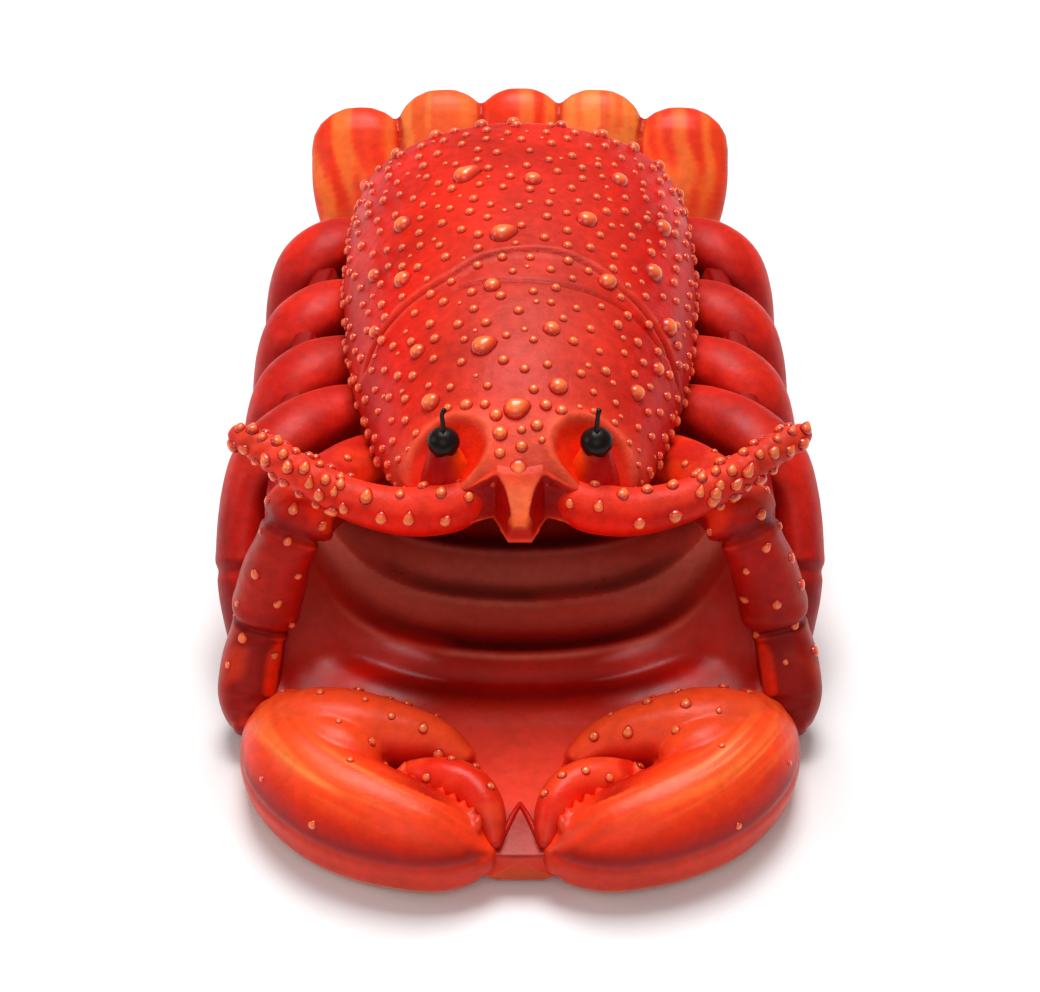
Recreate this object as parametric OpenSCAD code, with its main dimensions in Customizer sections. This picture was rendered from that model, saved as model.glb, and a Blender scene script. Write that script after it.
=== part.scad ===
// Lobster-shaped shell cracker: a ridged tray with claws, legs and tail, and a hinged
// carapace whose toothed lever presses a lobster claw or leg onto the ridges.
// Millimetres. +Z up, the head faces -Y, and the origin is on the table under the middle.

/* [Tray] */
// Height of the tray's side walls
wall_top = 44; // [40:1:46]
// Thickness of the tray's side walls
wall = 5; // [4:0.5:6]
// Height of the tray's floor between the ridges
floor_top = 12; // [10:0.5:14]
// Half the height of a grip ridge on the floor
ridge = 1.5; // [0.8:0.1:2]
// Distance from one grip ridge to the next
ridge_pitch = 16.6; // [15:0.1:19]

/* [Carapace] */
// Thickness of the carapace's shell
shell = 3; // [2.4:0.2:3.4]

/* [Limbs] */
// Thickness of a walking leg, as a share of the usual one
leg_size = 1; // [0.9:0.02:1.02]
// Thickness of an antenna, as a share of the usual one
antenna_size = 1; // [0.9:0.02:1.05]

/* [Eyes] */
// Diameter of an eye bead
bead_d = 6.8; // [6:0.2:8]

/* [Hinge and lever] */
// Diameter of the hinge pin
pin_d = 5; // [4:0.5:6]
// Gap all round between the pin and the lever's knuckle
pin_gap = 0.05; // [0.02:0.01:0.08]
// Depth of the lever's teeth
tooth = 3; // [2:0.5:4]
// Number of teeth under the lever
teeth = 6; // [4:1:8]

/* [Hidden] */

// Puts the middle of the whole over the origin
centring_y = 4.8;

// Colours
deep_red = [0.62, 0.07, 0.04];
bright_red = [0.85, 0.16, 0.06];
orange_red = [0.93, 0.33, 0.12];

// Hinge line
hinge_y = 60.5;
hinge_z = 49;

// Tray: [y, wall half width, wall top height, floor height]
base_low = 2;
nose_top = 9.8;
nose_back = -82.5;
tray_rows = [
    [-115.5, 6.5, nose_top, nose_top], [-111.5, 14, nose_top, nose_top],
    [-104, 28, nose_top, nose_top], [-93, 41, nose_top, nose_top], [nose_back, 47, 10.6, 10],
    [-78, 53, 12.6, 10.6], [-74, 55, 13.6, 11.2], [-66, 56, 16, floor_top],
    [-61, 56, 20, floor_top], [-56, 56, 29, floor_top], [-51, 56, 37, floor_top],
    [-46, 56, 42, floor_top], [-40, 56, wall_top, floor_top], [-20, 55.5, wall_top, floor_top],
    [0, 54.5, wall_top, floor_top], [26, 53, wall_top, floor_top], [42, 50.5, 43, floor_top],
    [49, 49, 41, 17], [54, 47.5, 38.2, 38], [60, 44, 38.2, 38], [70, 38, 38.2, 38]
];
tray_step = 3;
tray_across = 20;

// Carapace: [y, half width, top height, edge height]
shell_rows = [
    [58.5, 40, 74.5, 48], [45, 41.5, 77, 48], [22, 41.8, 79, 48], [-8, 38.8, 79.5, 48.3],
    [-28, 34.2, 78.5, 50], [-41, 30.9, 76.5, 52], [-53, 26.5, 73, 55], [-61, 19.5, 70, 57.5],
    [-66, 12, 67.5, 59]
];
shell_across = 22;
head_back = -46;

// A walking leg: [distance out, share of its forward sweep, height, radius]
leg_rows = [
    [36, 0, 41, 5], [43, 0.08, 41.3, 6], [51, 0.24, 41.5, 6.6], [57.5, 0.4, 39, 6.6],
    [60.5, 0.53, 33.5, 6.2], [61.3, 0.7, 26, 6.4], [61, 0.84, 19.5, 6.2], [60.6, 0.92, 14, 5.6],
    [60, 0.97, 10, 5], [58.5, 1, 7, 3.6]
];
// Breadth of a leg over its thickness
leg_flat = 1.3;
// Each leg from the back: [y of its root, forward sweep, shift outwards]
leg_roots = [[56, 22, -4.5], [30.5, 24, -3.5], [8.5, 25, -3], [-9, 44, 0.5]];

// The claw arm, the claw and its thumb, right side: [x, y, z, radius]
arm_path = [
    [31, -27, 42, 5.6], [37, -36, 45, 7], [43, -46, 47.5, 7.4], [47.5, -54, 48, 7.4],
    [50.5, -57.5, 43, 6.6], [53, -58.5, 36, 7.4], [55, -60, 29, 7.5], [57, -62.5, 22.5, 6.4],
    [58.8, -66.5, 16.5, 6.9], [59.6, -71, 11, 6.9], [59.8, -75, 8.5, 5.2], [59.8, -77.5, 7.5, 3]
];
palm_path = [
    [50.5, -79, 9.5, 8], [46, -83.5, 10.5, 10.4], [36, -85, 11, 10.8], [25, -86.5, 11, 9.6],
    [16, -90, 10.5, 6.6], [10.5, -95, 10, 4]
];
finger_path = [
    [51.5, -78, 8.5, 7.5], [51, -84, 8.5, 9.8], [47, -92.5, 9, 11.8], [40, -100.5, 9, 12.2],
    [31.5, -106, 9, 11.8], [23.5, -109.5, 8.8, 10.8], [16, -112, 8.4, 9.2],
    [10, -114, 8.4, 6.2], [6.6, -115.2, 8.6, 3]
];
// Height of a claw over its breadth
claw_flat = 1.15;
thumb_path = [
    [24, -92, 12.5, 4.5], [19, -94.5, 13.5, 5.6], [12, -98, 13.5, 5.2], [7.8, -104, 13, 4.4],
    [6, -110, 11.5, 3], [5.4, -113.5, 11, 1.4]
];

// Antenna, right side: [x, y, z, radius]
antenna_path = [
    [7, -61, 61.5, 4], [14, -64, 58.5, 4.6], [24, -63.6, 57.5, 4.5], [35, -61, 59.5, 4.3],
    [46, -56.5, 63, 3.9], [54, -51, 65, 3.4], [59, -47.5, 65.2, 2.9], [60.6, -46, 64.8, 1.6]
];

// Rostrum: [y, half width, top height, bottom height]
rostrum_rows = [[-56, 8, 73.6, 66], [-62, 6.6, 71.6, 60], [-68, 4, 68.4, 58.5], [-72.4, 2.6, 64, 58]];

// Rail that the leg roots and the carapace's edge sit on, right side: [x, y, z, radius]
rail_path = [
    [38.5, 52, 42, 3.4], [38.6, 30, 42.6, 3.4], [36.6, 4, 42.6, 3.4],
    [33, -18, 42, 3.4], [30, -30, 41, 3.4]
];

// Hood over the hinge and the abdomen behind it: [y, half width, top height]
hood_rows = [[61, 36, 70.5], [64, 36, 68], [67, 36, 65.5], [70, 36, 62.5]];
hood_t = 2.4;
shelf_top = 38.2;
abdomen_rows = [
    [70, 36, 61.5], [76, 36.5, 57], [81, 35.5, 51.5], [82.5, 32.5, 48], [88, 31, 45],
    [93, 28.5, 41], [94.5, 25, 37], [99, 21.5, 33.5], [103, 14, 26]
];

// Tail petals, right side: paths of [x, y, z, radius]
petals = [
    [
        [0, 88, 26, 7], [0, 93, 32.5, 10.2], [0, 98, 38.5, 11.4], [0, 102.5, 43.4, 11.6],
        [0, 106.4, 47.2, 10], [0, 109.2, 49.8, 6.6], [0, 110.4, 51, 2]
    ],
    [
        [14, 86, 24, 7.5], [17.4, 91.6, 31, 10.6], [19.8, 97, 37.5, 11.9], [20.2, 102, 43, 12],
        [20, 106, 47, 10.3], [19.4, 108.8, 49.6, 6.8], [19.2, 110, 50.8, 2]
    ],
    [
        [36, 80, 18, 8.5], [40, 85.5, 25.5, 11.6], [41.8, 91.5, 32.5, 12.4],
        [42.2, 97.5, 38.5, 12.4], [41.6, 102.8, 43, 10.8], [40.8, 106.4, 45.8, 7],
        [40.4, 107.9, 46.9, 2]
    ]
];
// The fan's thick root, which joins the petals
fan_root = [
    [-38, 81, 20, 4], [-30, 83.5, 22.5, 6], [-15, 86.5, 25.5, 7], [0, 88, 27, 7.4],
    [15, 86.5, 25.5, 7], [30, 83.5, 22.5, 6], [38, 81, 20, 4]
];
petal_face = [0, -0.77, 0.64];
petal_flat = 0.5;

// Eyes, right side
eye_x = 15;
eye_y = -58.5;
eye_base_z = 61.5;
stalk_h = 9;
stalk_lean = 6;
bead_up = 11;
peg_r = 1;
stem_r = 0.5;
stem_h = 5.2;
socket_r = 8.4;
socket_z = 70.2;

// Lever, bracket and screws
plate_z = [44, 48];
plate_y = [-21, 52];
plate_w = 57;
sole_z = [28, 32];
sole_y = [-11.5, 38.5];
sole_w = 52;
web_x = 22;
web_t = 4;
knuckle_r = 6.5;
knuckle_l = 44;
ear_r = 5.5;
ear_t = 4;
ear_gap = 0.3;
foot_y = [55, 70];
foot_t = 2.8;
cap_r = 4.6;
cap_t = 2;
pin_l = 58;
screw_r = 1.5;
boss_r = 4.5;
lever_screw_x = 16;
lever_screw_y = [38, -16];
bracket_screw_x = 15;
bracket_screw_y = 66.5;
rubber_r = 6;
rubber_h = 4;
rubber_at = [[40, -62], [34, 44]];

// ---- Curves and skins ----

function xyz(p) = [p[0], p[1], p[2]];
function unit(v) = v / norm(v);

// A point of the smooth curve through b and c
function curve_point(a, b, c, d, t) =
    0.5 * (2 * b + (c - a) * t + (2 * a - 5 * b + 4 * c - d) * t * t
    + (3 * b - a - 3 * c + d) * t * t * t);

// The list's rows with k - 1 smooth rows between each two
function smooth(p, k) = [
    for (i = [0 : len(p) - 2], s = [0 : k - 1])
        curve_point(p[max(i - 1, 0)], p[i], p[i + 1], p[min(i + 2, len(p) - 1)], s / k),
    p[len(p) - 1]
];

// Rings of n points round a path of [x, y, z, radius], flat = thickness over width
function tube_rings(p, n, ref, flat) = [
    for (i = [0 : len(p) - 1])
        let (
            t = unit(xyz(p[min(i + 1, len(p) - 1)]) - xyz(p[max(i - 1, 0)])),
            s = unit(cross(ref, t)),
            u = cross(t, s)
        )
        [for (j = [0 : n - 1]) xyz(p[i]) + p[i][3] * (cos(360 * j / n) * s + flat * sin(360 * j / n) * u)]
];

// Closed solid through rings that run clockwise seen from the first ring's side. A hollow
// ring is an outer arch and then an inner one back, so its ends close in strips of four.
module skin(rings, hollow = false) {
    n = len(rings[0]);
    last = (len(rings) - 1) * n;
    sides = [
        for (i = [0 : len(rings) - 2], j = [0 : n - 1])
            let (a = i * n + j, b = i * n + (j + 1) % n)
            each [[a, a + n, b], [b, a + n, b + n]]
    ];
    strips = [for (j = [0 : n / 2 - 2]) [j, j + 1, n - 2 - j, n - 1 - j]];
    caps = hollow
        ? [for (q = strips) each [q, [for (j = [3 : -1 : 0]) last + q[j]]]]
        : [[for (j = [0 : n - 1]) j], [for (j = [n - 1 : -1 : 0]) last + j]];
    polyhedron([for (r = rings) each r], concat(sides, caps), convexity = 10);
}

module tube(path, ref, sides = 10, k = 2, flat = 1) {
    skin(tube_rings(smooth(path, k), sides, ref, flat));
}

// The child as it is on the right side, or its mirror image on the left
module side(name) {
    mirror([name == "left" ? 1 : 0, 0, 0]) children();
}

module above(z) {
    intersection() {
        union() children();
        translate([-150, -150, z]) cube([300, 300, 200]);
    }
}

// ---- Tray ----

function ridge_at(x, y) =
    let (fade = max(0, 1 - pow(abs(x) / 44, 3)), front = min(1, max(0, (y + 78) / 16)),
        back = min(1, max(0, (44 - y) / 10)))
    ridge * fade * front * back * cos(360 * (y + 27.8 - 7 * pow(x / 34, 2)) / ridge_pitch);

function tray_ring(r) =
    let (y = r[0], out = r[1], top = r[2], low = r[3], inner = out - wall)
    concat(
        [[-out, y, base_low], [-out, y, top]],
        [for (k = [0 : tray_across])
            let (x = -inner * cos(180 * k / tray_across), s = abs(x) / inner)
            [x, y, low + (top - low) * pow(s, 5) + ridge_at(x, y) * (1 - pow(s, 5))]],
        [[out, y, top], [out, y, base_low]]
    );

// Rows every tray_step, plus the last one
function tray_rows_at() =
    let (y0 = tray_rows[0][0], y1 = tray_rows[len(tray_rows) - 1][0])
    [for (y = [y0 : tray_step : y1 - 1]) row_at(tray_rows, y), row_at(tray_rows, y1)];

function row_at(rows, y) = [
    y, for (c = [1 : len(rows[0]) - 1]) lookup(y, [for (r = rows) [r[0], r[c]]])
];

// The flat front of the tray, which the claws are seated on
module tray_nose() {
    rows = [for (y = [tray_rows[0][0] : tray_step : nose_back]) row_at(tray_rows, y)];
    left = [for (r = rows) [-r[1], r[0]]];
    right = [for (i = [len(rows) - 1 : -1 : 0]) [rows[i][1], rows[i][0]]];
    translate([0, 0, base_low]) linear_extrude(nose_top - base_low) polygon(concat(left, right));
}

module base_tray() {
    color(deep_red)
    difference() {
        skin([for (r = tray_rows_at()) tray_ring(r)]);
        for (s = [-1, 1], f = rubber_at)
            translate([s * f[0], f[1], base_low - 1]) cylinder(r = rubber_r, h = 3, $fn = 32);
        for (s = [-1, 1])
            translate([s * bracket_screw_x, bracket_screw_y, 30])
                cylinder(r = screw_r, h = 20, $fn = 24);
    }
}

// ---- Claws, arms and legs ----

module claw() {
    color(orange_red)
    difference() {
        above(base_low) {
            tube(finger_path, [0, 0, 1], sides = 14, flat = claw_flat);
            tube(palm_path, [0, 0, 1], sides = 14, flat = claw_flat);
        }
        tray_nose();
        translate([0, nose_back, 0]) cube([60, 20, 11.6]);
    }
}

module claw_thumb() {
    color(bright_red) tube(thumb_path, [0, 0, 1], sides = 10);
}

module arm() {
    color(bright_red) above(base_low) tube(arm_path, [0, 1, 0], sides = 12);
}

function leg_path(i) =
    let (root = leg_roots[i])
    [for (r = leg_rows) [
        r[0] + root[2] * min(1, (r[0] - 36) / 20), root[0] - r[1] * root[1], r[2], r[3] * leg_size
    ]];

module leg(i) {
    color(bright_red) above(base_low) tube(leg_path(i), [0, 1, 0], sides = 10, flat = leg_flat);
}

module rail() {
    color(deep_red) tube(rail_path, [0, 0, 1], sides = 8, k = 3);
}

// ---- Tail ----

function abdomen_ring(r) = [
    for (k = [0 : 16])
        let (a = 180 - 180 * k / 16)
        [r[1] * cos(a), r[0], base_low + (r[2] - base_low) * pow(sin(a), 0.7)]
];

module abdomen() {
    color(bright_red) skin([for (r = abdomen_rows) abdomen_ring(r)]);
}

module petal(p) {
    tube(p, petal_face, sides = 14, k = 1, flat = petal_flat);
}

module tail_fan() {
    color(orange_red) {
        petal(petals[0]);
        tube(fan_root, petal_face, k = 1);
        for (name = ["left", "right"], i = [1, 2]) side(name) petal(petals[i]);
    }
}

// ---- Hinge ----

function hood_ring(r) = concat(
    arch(r[1], r[2], shelf_top, r[0], false),
    arch(r[1] - hood_t, r[2] - hood_t, shelf_top, r[0], true)
);

module hinge_hood() {
    color(deep_red) skin([for (r = hood_rows) hood_ring(r)], hollow = true);
}

module along_x(r, l, x = 0) {
    translate([x - l / 2, hinge_y, hinge_z]) rotate([0, 90, 0]) cylinder(r = r, h = l, $fn = 48);
}

module hinge_bracket() {
    foot_w = knuckle_l + 2 * (ear_t + ear_gap);
    color("silver")
    difference() {
        union() {
            translate([-foot_w / 2, foot_y[0], shelf_top])
                cube([foot_w, foot_y[1] - foot_y[0], foot_t]);
            for (s = [-1, 1])
                translate([s * (knuckle_l / 2 + ear_gap + ear_t / 2), 0, 0]) {
                    translate([-ear_t / 2, hinge_y - ear_r, shelf_top])
                        cube([ear_t, 2 * ear_r, hinge_z - shelf_top]);
                    along_x(ear_r, ear_t);
                }
        }
        along_x(pin_d / 2, 80);
        for (s = [-1, 1])
            translate([s * bracket_screw_x, bracket_screw_y, 30])
                cylinder(r = screw_r + 0.25, h = 20, $fn = 24);
    }
}

// A pan-head screw whose head rests on z = 0 and whose shank goes down
module screw(l, head_r = 3, head_h = 2.2) {
    rotate([180, 0, 0]) cylinder(r = screw_r, h = l, $fn = 24);
    difference() {
        cylinder(r = head_r, h = head_h, $fn = 24);
        translate([-head_r, -0.4, head_h - 0.8]) cube([2 * head_r, 0.8, 1]);
        translate([-0.4, -head_r, head_h - 0.8]) cube([0.8, 2 * head_r, 1]);
    }
}

module bracket_screws() {
    color("silver")
    for (s = [-1, 1])
        translate([s * bracket_screw_x, bracket_screw_y, shelf_top + foot_t]) screw(10, 2.6, 1.6);
}

module hinge_pin() {
    color("silver") along_x(pin_d / 2, pin_l);
}

module pin_caps() {
    color("silver")
    for (s = [-1, 1])
        difference() {
            along_x(cap_r, cap_t, s * (knuckle_l / 2 + ear_gap + ear_t + 0.2 + cap_t / 2));
            along_x(pin_d / 2, 80);
        }
}

module rubber_feet() {
    color([0.08, 0.08, 0.08])
    for (s = [-1, 1], f = rubber_at)
        translate([s * f[0], f[1], 0]) cylinder(r = rubber_r, h = rubber_h, $fn = 32);
}

// ---- Carapace ----

function arch(hw, top, edge, y, flip) = [
    for (k = [0 : shell_across])
        let (a = flip ? 180 * k / shell_across : 180 - 180 * k / shell_across)
        [hw * cos(a), y, edge + (top - edge) * sin(a)]
];

// The head is solid: the inner arch shrinks to almost nothing in front of head_back
function shell_ring(r) =
    let (head = r[0] < head_back, in_w = head ? 3 : r[1] - shell, in_top = head ? r[3] + 2 : r[2] - shell)
    concat(arch(r[1], r[2], r[3], r[0], false), arch(in_w, in_top, r[3], r[0], true));

// Height of the shell's outside at x and y
function shell_z(x, y) =
    let (r = row_at(shell_rows, y)) r[3] + (r[2] - r[3]) * sqrt(1 - pow(x / r[1], 2));

function rostrum_ring(r) = [
    [-r[1], r[0], r[2] - 1.2], [0, r[0], r[2]], [r[1], r[0], r[2] - 1.2],
    [r[1] * 1.5, r[0], r[3]], [-r[1] * 1.5, r[0], r[3]]
];

module carapace() {
    rows = smooth(shell_rows, 3);
    color(deep_red)
    difference() {
        union() {
            skin([for (i = [len(rows) - 1 : -1 : 0]) shell_ring(rows[i])], hollow = true);
            skin([for (i = [len(rostrum_rows) - 1 : -1 : 0]) rostrum_ring(rostrum_rows[i])]);
            for (s = [-1, 1], y = lever_screw_y)
                translate([s * lever_screw_x, y, plate_z[1]])
                    cylinder(r = boss_r, h = shell_z(lever_screw_x + boss_r, y) - 0.6 - plate_z[1], $fn = 32);
        }
        for (s = [-1, 1], y = lever_screw_y)
            translate([s * lever_screw_x, y, plate_z[1] - 1]) cylinder(r = screw_r, h = 13, $fn = 24);
        for (s = [-1, 1]) translate([s * eye_x, eye_y, socket_z]) sphere(r = socket_r, $fn = 40);
    }
}

module antenna() {
    thin = [for (p = antenna_path) [p[0], p[1], p[2], p[3] * antenna_size]];
    color(bright_red) tube(thin, [0, 0, 1], sides = 10);
}

// ---- Eyes ----

module at_eye() {
    translate([eye_x, eye_y, eye_base_z]) rotate([stalk_lean, stalk_lean, 0]) children();
}

module eye_stalk() {
    color(bright_red)
    at_eye() difference() {
        cylinder(r1 = 5.6, r2 = 2.7, h = stalk_h, $fn = 40);
        translate([0, 0, 5]) cylinder(r = peg_r, h = 10, $fn = 24);
    }
}

module eye_bead() {
    color([0.02, 0.02, 0.02])
    at_eye() translate([0, 0, bead_up]) {
        difference() {
            sphere(d = bead_d, $fn = 40);
            translate([0, 0, stalk_h - bead_up - 5]) cylinder(r = bead_d, h = 5, $fn = 40);
        }
        translate([0, 0, -bead_up + 5.2]) cylinder(r = peg_r, h = bead_up - 5.2, $fn = 24);
        cylinder(r = stem_r, h = bead_d / 2 + stem_h, $fn = 16);
    }
}

// ---- Lever ----

function sole_profile() =
    let (n = teeth, w = (sole_y[1] - sole_y[0]) / n)
    concat(
        [[sole_y[0], sole_z[1]], [sole_y[0], sole_z[0]]],
        [for (i = [0 : n - 1]) each [
            [sole_y[0] + w * (i + 0.5), sole_z[0] - tooth], [sole_y[0] + w * (i + 1), sole_z[0]]
        ]],
        [[sole_y[1], sole_z[1]]]
    );

// Cuts a profile of [y, z] points along x, centred
module across(w, profile) {
    translate([-w / 2, 0, 0]) rotate([90, 0, 90]) linear_extrude(w) polygon(profile);
}

module press_lever() {
    color([0.75, 0.76, 0.78])
    difference() {
        union() {
            translate([-plate_w / 2, plate_y[0], plate_z[0]])
                cube([plate_w, plate_y[1] - plate_y[0], plate_z[1] - plate_z[0]]);
            across(knuckle_l, [[50, plate_z[0]], [hinge_y, 43], [hinge_y, 54], [50, plate_z[1]]]);
            along_x(knuckle_r, knuckle_l);
            across(sole_w, sole_profile());
            for (s = [-1, 1])
                translate([s * web_x - web_t / 2, sole_y[0], sole_z[1] - 1])
                    cube([web_t, sole_y[1] - sole_y[0], plate_z[0] - sole_z[1] + 2]);
        }
        along_x(pin_d / 2 + pin_gap, 80);
        for (s = [-1, 1], y = lever_screw_y)
            translate([s * lever_screw_x, y, 40]) cylinder(r = screw_r + 0.25, h = 12, $fn = 24);
    }
}

module lever_screws() {
    color("silver")
    for (s = [-1, 1], y = lever_screw_y)
        translate([s * lever_screw_x, y, plate_z[0]]) rotate([180, 0, 0]) screw(14);
}

// ---- Nodes ----

module placed() {
    translate([0, centring_y, 0]) children();
}

placed() base_tray();
placed() side("left") claw();  // left_claw
placed() side("right") claw();  // right_claw
placed() side("left") claw_thumb();  // left_claw_thumb
placed() side("right") claw_thumb();  // right_claw_thumb
placed() side("left") arm();  // left_arm
placed() side("right") arm();  // right_arm
placed() side("left") leg(0);  // left_leg_1
placed() side("left") leg(1);  // left_leg_2
placed() side("left") leg(2);  // left_leg_3
placed() side("left") leg(3);  // left_leg_4
placed() side("right") leg(0);  // right_leg_1
placed() side("right") leg(1);  // right_leg_2
placed() side("right") leg(2);  // right_leg_3
placed() side("right") leg(3);  // right_leg_4
placed() side("left") rail();  // left_rail
placed() side("right") rail();  // right_rail
placed() abdomen();
placed() tail_fan();
placed() hinge_hood();
placed() hinge_bracket();
placed() bracket_screws();
placed() hinge_pin();
placed() pin_caps();
placed() rubber_feet();
placed() carapace();
placed() side("left") antenna();  // left_antenna
placed() side("right") antenna();  // right_antenna
placed() side("left") eye_stalk();  // left_eye_stalk
placed() side("right") eye_stalk();  // right_eye_stalk
placed() side("left") eye_bead();  // left_eye_bead
placed() side("right") eye_bead();  // right_eye_bead
placed() press_lever();
placed() lever_screws();
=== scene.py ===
"""Lobster cracker: how it looks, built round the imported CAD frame.

Shapes are written in millimetres for the right-hand side (+X) and mirrored for the left.
"""

from types import SimpleNamespace

import bpy
import numpy as np
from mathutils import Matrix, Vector, noise


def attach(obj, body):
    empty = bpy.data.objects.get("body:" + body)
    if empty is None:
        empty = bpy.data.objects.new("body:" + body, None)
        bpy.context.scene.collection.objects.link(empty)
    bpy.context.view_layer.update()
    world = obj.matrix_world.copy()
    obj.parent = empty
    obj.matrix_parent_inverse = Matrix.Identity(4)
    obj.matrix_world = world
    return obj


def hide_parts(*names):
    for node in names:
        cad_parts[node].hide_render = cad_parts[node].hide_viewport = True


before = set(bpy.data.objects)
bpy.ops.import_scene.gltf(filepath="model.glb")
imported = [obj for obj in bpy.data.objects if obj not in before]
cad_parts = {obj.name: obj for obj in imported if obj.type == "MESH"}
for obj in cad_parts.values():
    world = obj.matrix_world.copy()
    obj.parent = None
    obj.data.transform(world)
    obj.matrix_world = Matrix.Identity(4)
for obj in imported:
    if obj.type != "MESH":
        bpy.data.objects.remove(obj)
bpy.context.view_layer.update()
MM = 0.001
CENTRED = np.array([0, 4.8, 0])  # mm, as the CAD puts its middle over the origin
rng = np.random.default_rng(23)

# ---------------------------------------------------------------- small maths


def smooth(rows, steps=12):
    """Catmull-Rom curve through the rows."""
    p = np.array(rows, float)
    p = np.vstack([2 * p[0] - p[1], p, 2 * p[-1] - p[-2]])
    t = (np.arange(steps) / steps)[:, None]
    spans = [
        0.5 * (2 * b + (c - a) * t + (2 * a - 5 * b + 4 * c - d) * t**2 + (3 * b - a - 3 * c + d) * t**3)
        for a, b, c, d in zip(p, p[1:], p[2:], p[3:])
    ]
    return np.vstack([*spans, p[-2:-1]])


def even(rows, step):
    """The same curve at an even spacing along its first three columns."""
    p = smooth(rows)
    s = np.r_[0, np.cumsum(np.linalg.norm(np.diff(p[:, :3], axis=0), axis=1))]
    t = np.linspace(0, s[-1], max(4, int(s[-1] / step)))
    return np.column_stack([np.interp(t, s, column) for column in p.T])


def stations(rows, step):
    """Rows that start with y, smoothed and then taken every step along y."""
    p = smooth(rows)
    order = np.argsort(p[:, 0])
    y = np.linspace(p[:, 0].min(), p[:, 0].max(), int(np.ptp(p[:, 0]) / step))
    return np.column_stack([y] + [np.interp(y, p[order, 0], c[order]) for c in p.T[1:]])


def ease(low, high, x):
    """0 at low and 1 at high, with a soft start and end; low may be the larger one."""
    t = np.clip((x - low) / (high - low), 0, 1)
    return t * t * (3 - 2 * t)


def bell(x, centre, width):
    """1 at centre, fading to nothing at about twice the width."""
    return np.exp(-(((x - centre) / width) ** 2))


def mix(a, b, t):
    """From colour a to colour b, by t at each vertex."""
    return np.asarray(a) * (1 - t)[:, None] + np.asarray(b) * t[:, None]


def paint_and_light(base, *layers):
    """A base colour under layers, each a colour and how far it covers each vertex; some layers are paint,
    many are painted light and shade.
    """
    for colour, cover in layers:
        base = mix(base, colour, cover)
    return base


def cloud(p, size, seed=0):
    """Noise about 0..1 over points; size is in mm, one number or one an axis."""
    q = p / np.array(size) + seed * 7.3
    return np.array([noise.noise(Vector(x)) for x in q]) * 0.8 + 0.5


def nearest(p, line):
    """How far each point is from a line's points, and where along it (0..1)."""
    best, where = np.full(len(p), 1e9), np.zeros(len(p))
    for i, q in enumerate(line):
        d = np.linalg.norm(p - q, axis=1)
        closer = d < best
        best[closer], where[closer] = d[closer], i / (len(line) - 1)
    return best, where


def beside(p, path, step, sign):
    """As nearest, for the curve through a path that is mirrored where sign is -1."""
    return nearest(p, even(path, step)[:, :3] * (sign, 1, 1))


# ------------------------------------------------------------- closed meshes


def loft(rings):
    """A closed mesh through rings of equal length, each end closed on its middle."""
    rings = np.asarray(rings, float)
    n, m = rings.shape[:2]
    v = np.vstack([rings.reshape(-1, 3), rings[0].mean(0), rings[-1].mean(0)])
    i, j = np.meshgrid(np.arange(n - 1), np.arange(m), indexing="ij")
    k = (j + 1) % m
    quads = np.stack([i * m + j, i * m + k, (i + 1) * m + k, (i + 1) * m + j], -1).reshape(-1, 4)
    f = quads.tolist()
    f += [[n * m, (j + 1) % m, j] for j in range(m)]
    f += [[n * m + 1, (n - 1) * m + j, (n - 1) * m + (j + 1) % m] for j in range(m)]
    return v, f


def tube(path, ref=(0, 0, 1), sides=40, step=0.7, flat=1.0, shape=None, cap=0.6):
    """A tube with rounded ends along [x, y, z, radius]; shape(u, angle) scales the radius."""
    rows = even(path, step)
    c, r = rows[:, :3], rows[:, 3]
    t = np.gradient(c, axis=0)
    t /= np.linalg.norm(t, axis=1)[:, None]
    s = np.cross(np.broadcast_to(np.array(ref, float), t.shape), t)
    s /= np.linalg.norm(s, axis=1)[:, None]
    w = np.cross(t, s)
    a = np.linspace(0, 2 * np.pi, sides, endpoint=False)
    u = np.linspace(0, 1, len(rows))
    scale = r[:, None] * (shape(u[:, None], a[None]) if shape else np.ones((1, sides)))
    out = np.cos(a)[None, :, None] * s[:, None] + flat * np.sin(a)[None, :, None] * w[:, None]
    rings = c[:, None] + scale[..., None] * out
    turn = np.radians([72, 54, 36, 18])
    first = [c[0] - t[0] * r[0] * cap * np.sin(g) + (rings[0] - c[0]) * np.cos(g) for g in turn]
    last = [c[-1] + t[-1] * r[-1] * cap * np.sin(g) + (rings[-1] - c[-1]) * np.cos(g)
            for g in turn[::-1]]
    return loft(np.concatenate([first, rings, last]))


def loft_arches(rings, half):
    """As loft, for arch bands of half outer and half inner points: each end is a flat strip."""
    v, f = loft(rings)
    n, m = len(rings), 2 * half
    f = f[: (n - 1) * m]
    for start, flip in ((0, False), ((n - 1) * m, True)):
        for j in range(half - 1):
            quad = [start + j, start + m - 1 - j, start + m - 2 - j, start + j + 1]
            f.append(quad[::-1] if flip else quad)
    return v[:-2], f


def joined(parts):
    """Several meshes as one, each still closed on its own."""
    v, f, start = [], [], 0
    for pv, pf in parts:
        v.append(pv)
        f += [[i + start for i in face] for face in pf]
        start += len(pv)
    return np.vstack(v), f


def mirrored(part):
    """The same mesh on the other side, with its faces turned to stay outward."""
    v, f = part
    return v * (-1, 1, 1), [face[::-1] for face in f]


def to_mesh(name, v, f):
    """A Blender mesh in metres, in the frame's place."""
    mesh = bpy.data.meshes.new(name)
    mesh.from_pydata(((v + CENTRED) * MM).tolist(), [], f)
    mesh.polygons.foreach_set("use_smooth", np.ones(len(f), bool))
    return mesh


def normals(v, f):
    mesh = to_mesh("measured", v, f)
    n = np.empty(len(v) * 3, np.float32)
    mesh.vertex_normals.foreach_get("vector", n)
    bpy.data.meshes.remove(mesh)
    return n.reshape(-1, 3).astype(float)


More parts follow.
